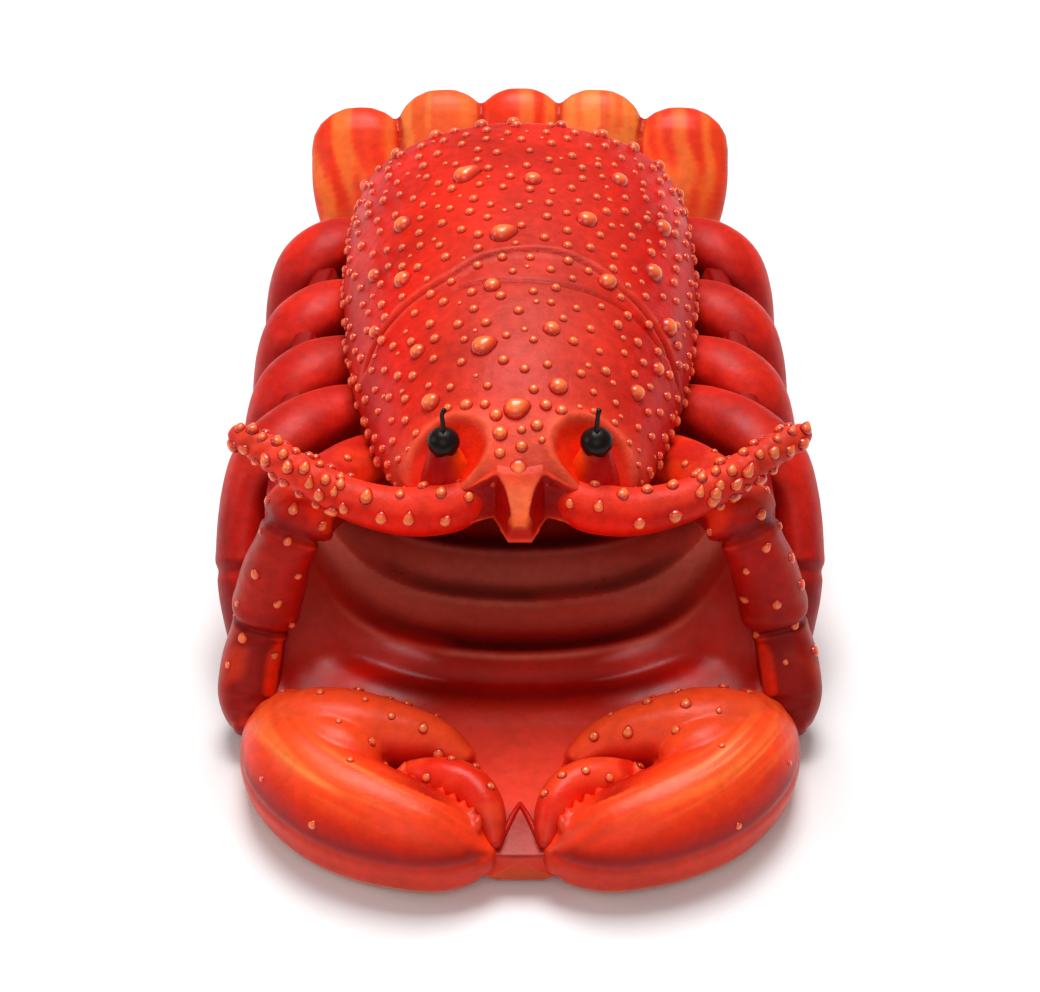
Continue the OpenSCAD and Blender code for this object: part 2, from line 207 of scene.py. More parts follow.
def fuse(parts, voxel, soften):
    """One even skin round overlapping closed meshes."""
    mesh = to_mesh("fused", *joined(parts))
    obj = bpy.data.objects.new("fused", mesh)
    bpy.context.scene.collection.objects.link(obj)
    remesh = obj.modifiers.new("fuse", "REMESH")
    remesh.mode, remesh.voxel_size = "VOXEL", voxel * MM
    soft = obj.modifiers.new("soften", "SMOOTH")
    soft.factor, soft.iterations = 0.5, soften
    done = obj.evaluated_get(bpy.context.evaluated_depsgraph_get()).to_mesh()
    v = np.empty(len(done.vertices) * 3, np.float32)
    done.vertices.foreach_get("co", v)
    f = [list(p.vertices) for p in done.polygons]
    v = v.reshape(-1, 3).astype(float) / MM - CENTRED
    bpy.data.objects.remove(obj)
    bpy.data.meshes.remove(mesh)
    return v, f


# ---------------------------------------------------------------- materials


WET = 0.14  # roughness where a piece's gloss is 1


def painted(name, rough, grain, bump, mottle=0.22, coat=0.06, specular=0.17):
    """Airbrushed moulding: the piece's vertex colours, which hold its paint and its painted light and
    shade, mottled, with a fine leathery grain.
    """
    mat = bpy.data.materials.new(name)
    mat.use_nodes = True
    nodes, link = mat.node_tree.nodes, mat.node_tree.links.new
    shader = nodes["Principled BSDF"]
    shader.inputs["Coat Weight"].default_value = coat
    shader.inputs["Coat Roughness"].default_value = 0.22
    shader.inputs["Specular IOR Level"].default_value = specular
    place = nodes.new("ShaderNodeTexCoord").outputs["Object"]

    def noise_at(scale, detail, roughness=0.55):
        n = nodes.new("ShaderNodeTexNoise")
        n.inputs["Scale"].default_value = scale
        n.inputs["Detail"].default_value = detail
        n.inputs["Roughness"].default_value = roughness
        link(place, n.inputs["Vector"])
        return n.outputs["Fac"]

    def remap(value, low, high):
        m = nodes.new("ShaderNodeMapRange")
        m.inputs["From Min"].default_value = 0.3
        m.inputs["From Max"].default_value = 0.7
        m.inputs["To Min"].default_value = low
        m.inputs["To Max"].default_value = high
        link(value, m.inputs["Value"])
        return m.outputs["Result"]

    tint = nodes.new("ShaderNodeAttribute")
    tint.attribute_name = "tint"
    gloss = nodes.new("ShaderNodeAttribute")
    gloss.attribute_name = "gloss"
    value = tint.outputs["Color"]
    for scale, amount in ((55, mottle), (420, mottle * 0.7)):
        hsv = nodes.new("ShaderNodeHueSaturation")
        link(remap(noise_at(scale, 4), 1 - amount, 1 + amount), hsv.inputs["Value"])
        link(value, hsv.inputs["Color"])
        value = hsv.outputs["Color"]
    link(value, shader.inputs["Base Color"])

    blend = nodes.new("ShaderNodeMix")
    link(gloss.outputs["Fac"], blend.inputs["Factor"])
    link(remap(noise_at(240, 3), rough - 0.06, rough + 0.08), blend.inputs["A"])
    blend.inputs["B"].default_value = WET
    link(blend.outputs["Result"], shader.inputs["Roughness"])

    fine = nodes.new("ShaderNodeBump")
    fine.inputs["Strength"].default_value = bump
    fine.inputs["Distance"].default_value = 0.00025
    link(noise_at(grain, 5, 0.62), fine.inputs["Height"])
    soft = nodes.new("ShaderNodeBump")
    soft.inputs["Strength"].default_value = bump * 0.6
    soft.inputs["Distance"].default_value = 0.0009
    link(noise_at(grain * 0.22, 3), soft.inputs["Height"])
    link(fine.outputs["Normal"], soft.inputs["Normal"])
    link(soft.outputs["Normal"], shader.inputs["Normal"])
    return mat


def worn(name, colour, spread, rough, metallic, stretch, bump):
    """Brushed metal or moulded rubber for the CAD's own fittings."""
    mat = bpy.data.materials.new(name)
    mat.use_nodes = True
    nodes, link = mat.node_tree.nodes, mat.node_tree.links.new
    shader = nodes["Principled BSDF"]
    shader.inputs["Metallic"].default_value = metallic
    place = nodes.new("ShaderNodeTexCoord")
    mapping = nodes.new("ShaderNodeMapping")
    mapping.inputs["Scale"].default_value = stretch
    link(place.outputs["Object"], mapping.inputs["Vector"])
    brushed = nodes.new("ShaderNodeTexNoise")
    brushed.inputs["Scale"].default_value = 900
    brushed.inputs["Detail"].default_value = 6
    link(mapping.outputs["Vector"], brushed.inputs["Vector"])
    patches = nodes.new("ShaderNodeTexNoise")
    patches.inputs["Scale"].default_value = 90
    link(place.outputs["Object"], patches.inputs["Vector"])
    ramp = nodes.new("ShaderNodeValToRGB")
    ramp.color_ramp.elements[0].position, ramp.color_ramp.elements[1].position = 0.3, 0.7
    ramp.color_ramp.elements[0].color = (*(c * (1 - spread) for c in colour), 1)
    ramp.color_ramp.elements[1].color = (*(c * (1 + spread) for c in colour), 1)
    link(patches.outputs["Fac"], ramp.inputs["Fac"])
    link(ramp.outputs["Color"], shader.inputs["Base Color"])
    level = nodes.new("ShaderNodeMapRange")
    level.inputs["To Min"].default_value = rough - 0.1
    level.inputs["To Max"].default_value = rough + 0.14
    link(brushed.outputs["Fac"], level.inputs["Value"])
    link(level.outputs["Result"], shader.inputs["Roughness"])
    relief = nodes.new("ShaderNodeBump")
    relief.inputs["Strength"].default_value = bump
    relief.inputs["Distance"].default_value = 0.0001
    link(brushed.outputs["Fac"], relief.inputs["Height"])
    link(relief.outputs["Normal"], shader.inputs["Normal"])
    return mat


SHELL = painted("shell_paint", rough=0.4, grain=1500, bump=0.42, coat=0.02, specular=0.11)
BED = painted("bed_paint", rough=0.34, grain=900, bump=0.16, mottle=0.12, coat=0.12)
LIMB = painted("limb_paint", rough=0.47, grain=1100, bump=0.22, coat=0.04)
CLAW = painted("claw_paint", rough=0.34, grain=1000, bump=0.24, mottle=0.14)
FAN = painted("fan_paint", rough=0.38, grain=900, bump=0.2, mottle=0.14)
BLACK = painted("eye_paint", rough=0.36, grain=1400, bump=0.3, coat=0.1)
DROP = painted("drop_paint", rough=0.2, grain=1500, bump=0.1, mottle=0.12, coat=0.2, specular=0.6)

# --------------------------------------------------------------------- pieces


DEEPEN, LEVEL = (1.0, 1.26, 1.34), (1.0, 0.95, 0.9)  # turn the painted colours to a deep, clean red


def piece(name, part, tint, gloss, body, nodes, material):
    """One visible piece; tint is linear RGB, paint and painted light and shade together, gloss is 0 for
    satin to 1 for wet.
    """
    v, f = part
    tint = np.clip(tint, 0, 1) ** DEEPEN * LEVEL
    mesh = to_mesh(name, v, f)
    colour = mesh.color_attributes.new("tint", "FLOAT_COLOR", "POINT")
    colour.data.foreach_set("color", np.column_stack([np.clip(tint, 0, 1), np.ones(len(v))]).ravel())
    shine = mesh.attributes.new("gloss", "FLOAT", "POINT")
    shine.data.foreach_set("value", np.zeros(len(v)) + gloss)
    mesh.materials.append(material)
    obj = bpy.data.objects.new(name, mesh)
    bpy.context.scene.collection.objects.link(obj)
    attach(obj, body)
    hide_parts(*nodes)
    return obj


def scatter(v, allowed, gap, most=9999):
    """Vertex numbers at least gap apart, taken at random where allowed."""
    free, picked = allowed.copy(), []
    for i in rng.permutation(len(v)):
        if free[i] and len(picked) < most:
            picked.append(i)
            free &= np.linalg.norm(v - v[i], axis=1) > gap
    return picked


# A bead's outline from its foot to its top: how far out, and how high
DOME = [(1.16, -0.35), (1.06, 0.0), (1.0, 0.26), (0.86, 0.56), (0.62, 0.82), (0.32, 0.96)]
DOME_SIDES = 14


def drops(v, n, radius, lift=0.62, stretch=None, toward=None):
    """Water-drop beads on points v with normals n. A stretched one tapers to one side.

    Returns the meshes joined, and how high each vertex is on its own bead, 0 to 1.
    """
    a = np.linspace(0, 2 * np.pi, DOME_SIDES, endpoint=False)
    ahead_only = np.clip(np.sin(a), 0, 1)
    parts, rise = [], []
    for i in range(len(v)):
        up = n[i] / np.linalg.norm(n[i])
        across = np.cross(up, toward[i] if toward is not None else (0.2, 1, 0.1))
        across /= np.linalg.norm(across)
        ahead = np.cross(across, up)
        long = stretch[i] if stretch is not None else 1.0
        tail = 1 + (long - 1) * ahead_only ** 1.5
        side = 1 - 0.35 * (long - 1) * ahead_only
        rings = []
        for out, high in DOME:
            flat = (out * np.cos(a) * side)[:, None] * across + (out * np.sin(a) * tail)[:, None] * ahead
            rings.append(v[i] + radius[i] * (flat + high * lift * up))
        parts.append(loft(rings[::-1]))
        rise.append(np.r_[np.repeat([h for _, h in DOME][::-1], DOME_SIDES), 1, -0.35])
    return joined(parts), np.clip(np.concatenate(rise), 0, 1)


# A bead's colours: painted shadow round its foot, its orange, and a lighter top that is partly painted
# highlight
DROP_SHADE, DROP_MID, DROP_TOP = (0.42, 0.010, 0.004), (0.88, 0.10, 0.028), (1.0, 0.30, 0.10)


def beads(spots, n, radius, **how):
    """Drops on the spots, coloured from a painted shadow round the foot to an orange top lightened by a
    painted highlight.
    """
    part, rise = drops(spots, n, radius, **how)
    return part, mix(mix(DROP_SHADE, DROP_MID, ease(0, 0.5, rise)), DROP_TOP, ease(0.55, 1, rise))


def bead_piece(name, groups, body, nodes):
    """All of a piece's beads, as one piece of their own with a wetter finish."""
    parts, tints = zip(*groups)
    piece(name, joined(parts), np.vstack(tints), 0, body, nodes, DROP)


def plain(colour, part):
    """One colour for each of a part's vertices."""
    return np.tile(colour, (len(part[0]), 1))


def sides():
    """Right and left, as a name, a sign and a mirror for a closed mesh."""
    yield "right", 1, lambda part: part
    yield "left", -1, mirrored


# ------------------------------------------------------------------ carapace

SHELL_ROWS = [
    [58.5, 40, 74.5, 48], [45, 41.5, 77, 48], [22, 41.8, 79, 48], [-8, 38.8, 79.5, 48.3],
    [-28, 34.2, 78.5, 50], [-41, 30.9, 76.5, 52], [-53, 26.5, 73, 55], [-61, 19.5, 70, 57.5],
    [-63.6, 14, 68, 59],
]
SHELL_T, HEAD_BACK = 3.0, -46.0
EYE, EYE_R, EYE_DEEP = (15.0, -56.0), (8.4, 7.3), 4.4
ARCH_POINTS = 90
HALF_TURN = np.linspace(0, np.pi, ARCH_POINTS)
UPPER_GROOVE = [[-34, -18], [-31, -14.5], [-24, -10], [-16, -7], [-9, -2.5], [0, -0.6], [8, -0.4],
                [16, -3], [24, -8], [31, -14], [35, -20]]
LOWER_GROOVE = [[-14, -11.5], [-7, -10.8], [0, -11.4], [8, -11.6], [16, -12], [24, -14], [32, -18]]


def arch(row, inset):
    """Half an ellipse over the edge, from right to left."""
    y, half, top, edge = row
    z = edge + (top - inset - edge) * np.sin(HALF_TURN)
    return np.column_stack([(half - inset) * np.cos(HALF_TURN), np.full_like(z, y), z])


def carapace_solid():
    """The hollow lid and its solid head."""
    rows = stations(SHELL_ROWS, 1.6)
    hollow = [r for r in rows if r[0] >= HEAD_BACK - 2]
    shell = loft([np.vstack([arch(r, 0), arch(r, SHELL_T)[::-1]]) for r in hollow])
    head = loft([arch(r, 0) for r in rows if r[0] <= HEAD_BACK])
    return fuse([shell, head], voxel=0.64, soften=2)


# The rostrum by y: half width at the top and below, height of the top and below
ROSTRUM = [[-58, 4.6, 6.6, 69.8, 60], [-61, 5.0, 6.5, 69.5, 59], [-63.4, 4.7, 6.1, 68.9, 58.8],
           [-66, 3.0, 5.5, 67.3, 58.6], [-69, 2.1, 4.2, 65.5, 58.2], [-71.4, 1.6, 3.2, 63.6, 58],
           [-72.6, 1.3, 2.7, 62.3, 57.8]]
# The brow by x: y and z of its crest, then y and z of its foot
BROW = [[3.6, -63.4, 69.2, -65.4, 59], [5.4, -63.6, 68.8, -66, 58.8], [7.4, -64, 67.8, -66.4, 58.5],
        [10, -64.2, 66.2, -67.0, 58], [13, -64.0, 64.6, -67.8, 57.2], [17, -63.2, 62.6, -67.5, 56],
        [20, -61.5, 61, -65.5, 56]]


def beak_solid():
    """The rostrum, and the brow from it to each antenna's root."""
    rostrum = [[[-top_w, y, top], [top_w, y, top], [low_w, y, low], [-low_w, y, low]]
               for y, top_w, low_w, top, low in smooth(ROSTRUM, 8)]
    brow = []
    for x, cy, cz, fy, fz in smooth(BROW, 8):
        brow.append([[x, cy + 0.7, cz], [x, cy, cz - 0.3],
                     [x, cy * 0.7 + fy * 0.3 + 0.9, cz * 0.7 + fz * 0.3],
                     [x, cy * 0.3 + fy * 0.7 + 0.7, cz * 0.3 + fz * 0.7], [x, fy, fz + 0.5],
                     [x, fy + 0.3, fz], [x, fy + 3, fz - 0.2], [x, -54, 58], [x, -56, cz - 1.5]])
    brow = loft(brow)
    return fuse([loft(rostrum), brow, mirrored(brow)], voxel=0.41, soften=1)


def paint_beak(part):
    v, f = part
    n = normals(v, f)
    x, y, z = v.T
    off = np.abs(x)
    up = ease(0.35, 0.75, n[:, 2]) * np.maximum(ease(63.5, 66.5, z), off < 3.4)
    rim = 58.6 - 0.28 * np.clip(off - 8, 0, 20)
    # Painted light among these layers: painted shade under the brow's crest, the up-facing tops lighter
    # as painted light, and painted highlights on the top and front of the rostrum's tip.
    return paint_and_light(
        (0.40, 0.008, 0.004),
        ((0.66, 0.022, 0.008), ease(6, 15, off)),
        ((0.36, 0.006, 0.003), 0.85 * bell(off, 6.3, 2.0) * ease(67.5, 64, z) * (1 - up)),
        ((0.84, 0.10, 0.055), up),
        ((0.97, 0.24, 0.12), 0.85 * up * ease(-62, -68, y) * (off < 4)),
        ((0.95, 0.20, 0.07), 0.8 * bell(z, 63.2, 1.3) * (y < -70.5)),
        ((0.62, 0.03, 0.02), 0.7 * (y < -71.5) * ease(62, 60, z)),
        ((0.97, 0.13, 0.045), 0.85 * bell(z, rim, 0.55) * (n[:, 1] < 0.3) * (y < -64)),
    )


def carve_carapace(v, f):
    """Cut the grooves and eye sockets, and say where the skin, grooves and sockets are."""
    n = normals(v, f)
    x, y, z = v.T
    rows = stations(SHELL_ROWS, 1.0)
    half, top, edge = (np.interp(y, rows[:, 0], c) for c in rows.T[1:])
    on = SimpleNamespace(edge=edge)
    on.arch_z = edge + (top - edge) * np.sqrt(np.clip(1 - (x / half) ** 2, 0, 1))
    on.outer = (n[:, 2] > -0.15) & (z > 49) & ~((y < HEAD_BACK + 2) & (z < 56))
    on.skin = on.outer & (np.abs(z - on.arch_z) < 2.2)
    on.up, _ = nearest(v[:, :2], smooth(UPPER_GROOVE, 16))
    on.low, _ = nearest(v[:, :2], smooth(LOWER_GROOVE, 16))
    cut = bell(on.up, 0, 0.62) - 0.3 * bell(on.up, 1.5, 0.8) + 0.7 * bell(on.low, 0, 0.55)
    swell = 0.22 * (cloud(v, 11, 1) - 0.5)
    q = np.hypot((np.abs(x) - EYE[0]) / EYE_R[0], (y - EYE[1]) / EYE_R[1])
    head = on.outer & (z > 59)
    on.bowl = np.where(head, EYE_DEEP * np.clip(1 - q**2, 0, 1) ** 0.8, 0)
    on.ring = bell(q, 1.06, 0.17) * head
    v = v + n * np.where(on.skin, swell - cut, 0)[:, None]
    v[:, 2] -= on.bowl
    return v + n * (0.6 * on.ring)[:, None], on


def paint_carapace(v, n, on):
    x, y, _ = v.T
    grooves = np.maximum(bell(on.up, 0, 0.6), 0.8 * bell(on.low, 0, 0.5)) * on.skin
    inside = (n[:, 2] < -0.3) | ~on.outer & (y > HEAD_BACK)
    # Painted light among these layers: the pale middle and the mauve patch right of it towards the rear
    # are painted sheen, the lighter head and the thin light lip behind the upper groove are painted
    # highlights; the dark grooves, the darker bottom of each eye socket and the dark undersides and
    # inside are painted shade.
    return paint_and_light(
        (0.69, 0.045, 0.026),
        ((0.58, 0.10, 0.085), 0.85 * bell(x, 2, 17) * bell(y, -24, 34) * on.outer),
        ((0.63, 0.012, 0.004), 0.9 * ease(16, 34, np.abs(x)) * on.outer),
        ((0.52, 0.05, 0.045), 0.5 * bell(x, 10, 13) * bell(y, 22, 16) * on.outer),
        ((0.76, 0.045, 0.014), 0.6 * bell(x, -26, 12) * bell(y, 20, 20) * on.outer),
        ((0.78, 0.12, 0.07), 0.75 * ease(-42, -54, y) * on.outer),
        ((0.33, 0.008, 0.006), 0.85 * grooves),
        ((0.80, 0.16, 0.12), 0.4 * bell(on.up, 1.5, 0.7) * on.skin),
        ((0.92, 0.17, 0.10), 0.55 * on.ring * on.outer),
        ((0.80, 0.045, 0.012), ease(0.3, 1.5, on.bowl)),
        ((0.40, 0.006, 0.003), 0.8 * ease(2.6, 4.4, on.bowl)),
        ((0.30, 0.006, 0.004), 0.9 * inside),
    )


# The large beads and the ones on the head: x, y, radius, stretch
LARGE_BEADS = [
    [-13, 32, 2.6, 1.7], [3, 28, 2.1, 1], [23, 36, 2.1, 1.15], [-27, 20, 2.2, 1], [-4, 6, 2.6, 1.5],
    [15, 14, 2.3, 1.2], [33, 25, 2.3, 1.1], [-26, -1, 2.1, 1.1], [-6, -13, 1.9, 1], [19, -7, 2.1, 1.2],
    [30, 5, 2.3, 1.15], [-22, -27, 1.8, 1.1], [-8, -32, 2.5, 1.35], [7, -27, 1.9, 1],
    [33, -9, 2.3, 1.1], [8, -43, 2.0, 1.1], [25, -36, 2.0, 1.15], [-19, -43, 2.1, 1.1],
    [-1, -49, 2.5, 1.35], [-33, 8, 1.8, 1], [-32, -12, 1.7, 1], [30, -24, 1.7, 1], [-11, -47, 1.4, 1],
    [-7.6, -47.4, 1.1, 1], [-5.2, -50.4, 1.4, 1], [3.4, -52.8, 1.35, 1], [-4, -54.6, 1.7, 1],
    [0.4, -54, 1.0, 1], [0.2, -57.6, 1.3, 1], [-4, -58.8, 1.2, 1], [5.4, -47.6, 1.3, 1],
    [9, -48.6, 1.3, 1],
]


def carapace_beads(v, n, on):
    """The large beads first, then small ones between them and along the rims."""
    x, y, z = v.T
    at = []
    for bx, by, *_ in LARGE_BEADS:
        away = np.hypot(x - bx, y - by) + np.where(on.skin & (n[:, 2] > 0), 0, 99)
        at.append(int(np.argmin(away)))
    size, pull = np.array(LARGE_BEADS).T[2:]
    lean = np.tile((0.9, 0.4, 0.0), (len(at), 1))
    wet = [beads(v[at], n[at], size, stretch=pull, toward=lean, lift=0.85)]

    clear = on.skin & (on.bowl < 0.05) & (on.ring < 0.35) & (on.up > 2.0) & (on.low > 1.4)
    clear &= (y < 57) & (y > -63) & ((np.abs(x) > 9) | (y > -58))
    for i, r in zip(at, size):
        clear &= np.linalg.norm(v - v[i], axis=1) > r + 2.3
    small = scatter(v, clear & (z > on.edge + 2.5), 5.0)
    r = rng.uniform(0.88, 1.22, len(small)) * (1 - 0.2 * ease(-30, -60, v[small, 1]))
    wet.append(beads(v[small], n[small], r, lift=0.9))
    for i in small:
        clear &= np.linalg.norm(v - v[i], axis=1) > 3.0
    tiny = scatter(v, clear, 5.0, 70)
    wet.append(beads(v[tiny], n[tiny], rng.uniform(0.5, 0.8, len(tiny))))

    rim = scatter(v, on.outer & (y > 57.2) & (y < 58.4) & (z > on.arch_z - 1), 7.4)
    wet.append(beads(v[rim], n[rim] * (1, 0.3, 1), np.full(len(rim), 1.5), lift=0.95))
    side = scatter(v, on.skin & (z < on.edge + 2.5) & (z > on.edge + 0.6) & (y > -50), 4.6)
    wet.append(beads(v[side], n[side], rng.uniform(0.8, 1.3, len(side)), lift=0.85))
    nose = int(np.argmin(np.hypot(x, y + 62) + np.where(n[:, 2] > 0.4, 0, 99)))
    wet.append(beads(v[[nose]], n[[nose]], np.array([1.7]), lift=0.4))
    return wet


def build_carapace():
    v, f = carapace_solid()
    v, on = carve_carapace(v, f)
    n = normals(v, f)
    beak = beak_solid()
    tint = np.vstack([paint_carapace(v, n, on), paint_beak(beak)])
    gloss = np.r_[np.zeros(len(v)), np.full(len(beak[0]), 0.3)]
    piece("shell", joined([(v, f), beak]), tint, gloss, "lid", ["carapace"], SHELL)
    bead_piece("shell_beads", carapace_beads(v, n, on), "lid", ["carapace"])


# ------------------------------------------------------------------ antennae

ANTENNA = [
    [4, -58, 61.5, 3.2], [9, -60.6, 61, 4.2], [14.5, -63.2, 59.6, 5.4], [24, -63.2, 58.2, 5.1],
    [35, -61, 59.5, 4.5], [46, -56.5, 63, 3.9], [54, -51, 65, 3.4], [59, -47.5, 65.2, 2.9],
    [60.6, -46, 64.8, 1.6],
]


def antenna_shape(u, a):
    """Round, with a sharp moulded rim low on the front and a lumpy tip."""
    rim = 0.16 * bell(np.mod(a - np.radians(285) + np.pi, 2 * np.pi), np.pi, 0.16) * ease(1.0, 0.85, u)
    lumps = 0.07 * np.sin(u * 95 + 2.2 * np.sin(a)) * ease(0.55, 0.8, u)
    return 1 + rim + lumps


def build_antennae():
    for name, sign, flip in sides():
        part = flip(tube(ANTENNA, sides=64, step=0.4, shape=antenna_shape))
        v, f = part
        n = normals(v, f)
        off, u = beside(v, ANTENNA, 1.0, sign)
        thick = even(ANTENNA, 1.0)[:, 3]
        radius = np.interp(u, np.linspace(0, 1, len(thick)), thick)
        # Up-facing faces lighter as painted light, and down-facing faces darker as painted shade.
        tint = paint_and_light(
            (0.84, 0.030, 0.012),
            ((0.84, 0.10, 0.06), 0.7 * ease(0.35, 0.9, u)),
            ((0.86, 0.12, 0.08), 0.5 * ease(0.3, 0.9, n[:, 2])),
            ((0.55, 0.012, 0.005), 0.8 * ease(0.05, -0.5, n[:, 2])),
            ((0.95, 0.14, 0.05), ease(1.06, 1.12, off / radius) * ease(0.85, 0.6, u)),
        )
        facing = n @ np.array([0, -0.45, 0.9])
        spots = scatter(v, (facing > 0.55) & (u > 0.12) & (u < 0.62), 5.2)
        wet = [beads(v[spots], n[spots], rng.uniform(1.0, 1.5, len(spots)),
                     stretch=rng.uniform(1.1, 1.6, len(spots)), lift=0.75)]
        spots = scatter(v, (facing > -0.1) & (u > 0.55) & (u < 0.97), 3.1)
        wet.append(beads(v[spots], n[spots], rng.uniform(0.9, 1.35, len(spots)),
                         stretch=rng.uniform(1.2, 2.0, len(spots)), lift=0.85))
        piece(f"{name}_feeler", part, tint, 0, "lid", [f"{name}_antenna"], SHELL)
        bead_piece(f"{name}_feeler_beads", wet, "lid", [f"{name}_antenna"])


# ---------------------------------------------------------------------- eyes

STALK = [[0, 6.2], [2, 5.7], [4.5, 4.9], [7, 4.0], [9, 3.1], [10.4, 1.7], [10.8, 0.4]]  # height, radius
STALK_FOOT = (14.9, -57.6, 60.4)
EYE_UP, EYE_RADIUS = 11.4, 3.45


def build_eyes():
    a = np.linspace(0, 2 * np.pi, 56, endpoint=False)
    ring = np.column_stack([np.cos(a), np.sin(a), np.zeros_like(a)])
    for name, sign, _ in sides():
        base = np.array(STALK_FOOT) * (sign, 1, 1)
        lean = np.array([sign * 0.09, 0.10, 1.0])
        lean /= np.linalg.norm(lean)
        part = loft([base + lean * h + ring * r for h, r in smooth(STALK, 8)])
        v, f = part
        n = normals(v, f)
        high = (v[:, 2] - base[2]) / 10
        inner = ease(-0.5, 0.9, -sign * n[:, 0] + 0.5 * n[:, 1])
        # The inward side lighter towards the top, as painted light.
        tint = paint_and_light(
            (0.52, 0.008, 0.003),
            ((0.92, 0.12, 0.014), np.clip(inner * (0.35 + 0.75 * high), 0, 1)),
            ((0.30, 0.004, 0.003), 0.8 * ease(0.25, 0.0, high)),
        )
        piece(f"{name}_stalk", part, tint, 0.25, "lid", [f"{name}_eye_stalk"], SHELL)

        # The bead is a slightly flat ball, with dents round its lower half and a wire stem on top
        centre = base + lean * EYE_UP
        rings = []
        for g in np.radians(np.linspace(4, 176, 48)):
            wide, narrow = np.sin(5 * a + sign), np.sin(11 * a)
            dents = 0.10 * wide * ease(1.7, 2.4, g) + 0.06 * narrow * ease(1.9, 2.6, g)
            r = EYE_RADIUS * (1 + dents)
            rings.append(centre + np.column_stack(
                [r * np.sin(g) * np.cos(a), r * np.sin(g) * np.sin(a), 0.88 * r * np.cos(g)]))
        foot = centre + [0, 0, 2.6]
        stem = tube([[*foot, 0.62], [*(foot + [0, 0.2, 2.2]), 0.5],
                     [*(foot + [sign * 0.15, 0.5, 4.3]), 0.48], [*(foot + [0.35, 0.6, 5.4]), 0.6]],
                    ref=(0, 1, 0), sides=16, step=0.25)
        part = joined([loft(rings[::-1]), stem])
        tint = plain((0.008, 0.007, 0.007), part)
        piece(f"{name}_eye", part, tint, 0.2, "lid", [f"{name}_eye_bead"], BLACK)


# --------------------------------------------------------------------- limbs

# One leg: how far out, its share of the sweep forward, height, radius
LEG_ROWS = [
    [36, 0, 41, 5], [43, 0.08, 41.3, 6], [51, 0.24, 41.5, 6.6], [57.5, 0.4, 39, 6.6],
    [60.5, 0.53, 33.5, 6.2], [61.3, 0.7, 26, 6.4], [61, 0.84, 19.5, 6.2], [60.6, 0.92, 14, 5.6],
    [60, 0.97, 10, 5], [58.5, 1, 7, 3.6],
]
LEG_ROOTS = [[56, 22, -4.5], [30.5, 24, -3.5], [8.5, 25, -3], [-9, 44, 0.5]]  # y, sweep, shift out
RAIL = [[38.5, 52, 42, 3.4], [38.6, 30, 42.6, 3.4], [36.6, 4, 42.6, 3.4], [33, -18, 42, 3.4],
        [30, -30, 41, 3.4]]


def leg_shape(u, a):
    """A soft keel along the outside, and a faint joint near the foot."""
    keel = 0.05 * bell(np.mod(a, 2 * np.pi), np.pi * 0.86, 0.5)
    joint = -0.07 * bell(u, 0.74, 0.018) + 0.03 * bell(u, 0.71, 0.02)
    return 1 + keel + joint


def build_legs():
    for name, sign, flip in sides():
        for i, (root, sweep, shift) in enumerate(LEG_ROOTS):
            path = [[o + shift * min(1, (o - 36) / 20), root - share * sweep, z, r]
                    for o, share, z, r in LEG_ROWS]
            part = flip(tube(path, ref=(0, 1, 0), sides=56, step=0.6, flat=1.3, shape=leg_shape))
            v, f = part
            n = normals(v, f)
            _, u = beside(v, path, 1.5, sign)
            patch = cloud(v, 9, 3 + i)
            # A painted highlight along each leg's upper rear edge, and painted shade on its front
            # underside.
            tint = paint_and_light(
                (0.52, 0.022, 0.012),
                ((0.66, 0.036, 0.013), bell(u, 0.34, 0.22) * ease(0.2, 0.7, patch)),
                ((0.74, 0.30, 0.26), 0.8 * ease(0.25, 0.9, n[:, 1]) * ease(-0.2, 0.3, n[:, 2])),
                ((0.62, 0.03, 0.014), 0.7 * bell(u, 0.03, 0.12)),
                ((0.30, 0.005, 0.003), 0.9 * ease(-0.1, -0.7, n[:, 1]) * ease(0.8, 0.4, n[:, 2])),
                ((0.30, 0.012, 0.008), 0.5 * ease(0.55, 0.95, u)),
            )
            piece(f"{name}_walking_leg_{i + 1}", part, tint, 0, "base",
                  [f"{name}_leg_{i + 1}"], LIMB)

        part = flip(tube(RAIL, sides=40, step=0.8))
        v, f = part
        tint = mix((0.24, 0.004, 0.002), (0.36, 0.007, 0.004), ease(0.35, 0.7, cloud(v, 7, 5)))
        piece(f"{name}_side_rail", part, tint, 0, "base", [f"{name}_rail"], LIMB)


ARM = [
    [31, -27, 42, 5.6], [37, -36, 45, 7], [43, -46, 47.5, 7.4], [47.5, -54, 48, 7.4],
    [50.5, -57.5, 43, 6.6], [53, -58.5, 36, 7.4], [55, -60, 29, 7.5], [57, -62.5, 22.5, 6.4],
    [58.8, -66.5, 16.5, 6.9], [59.6, -71, 11, 6.9], [59.8, -75, 8.5, 5.2], [59.8, -77.5, 7.5, 3],
]
ARM_JOINTS = (0.42, 0.71)


def arm_shape(u, a):
    """Rather square, with a crease and a swollen collar at each joint."""
    square = (np.abs(np.cos(a)) ** 2.7 + np.abs(np.sin(a)) ** 2.7) ** (-1 / 2.7)
    crease = sum(0.17 * bell(u, j, 0.011) - 0.06 * bell(u, j - 0.035, 0.025) for j in ARM_JOINTS)
    return square * (1 - crease) * 0.97


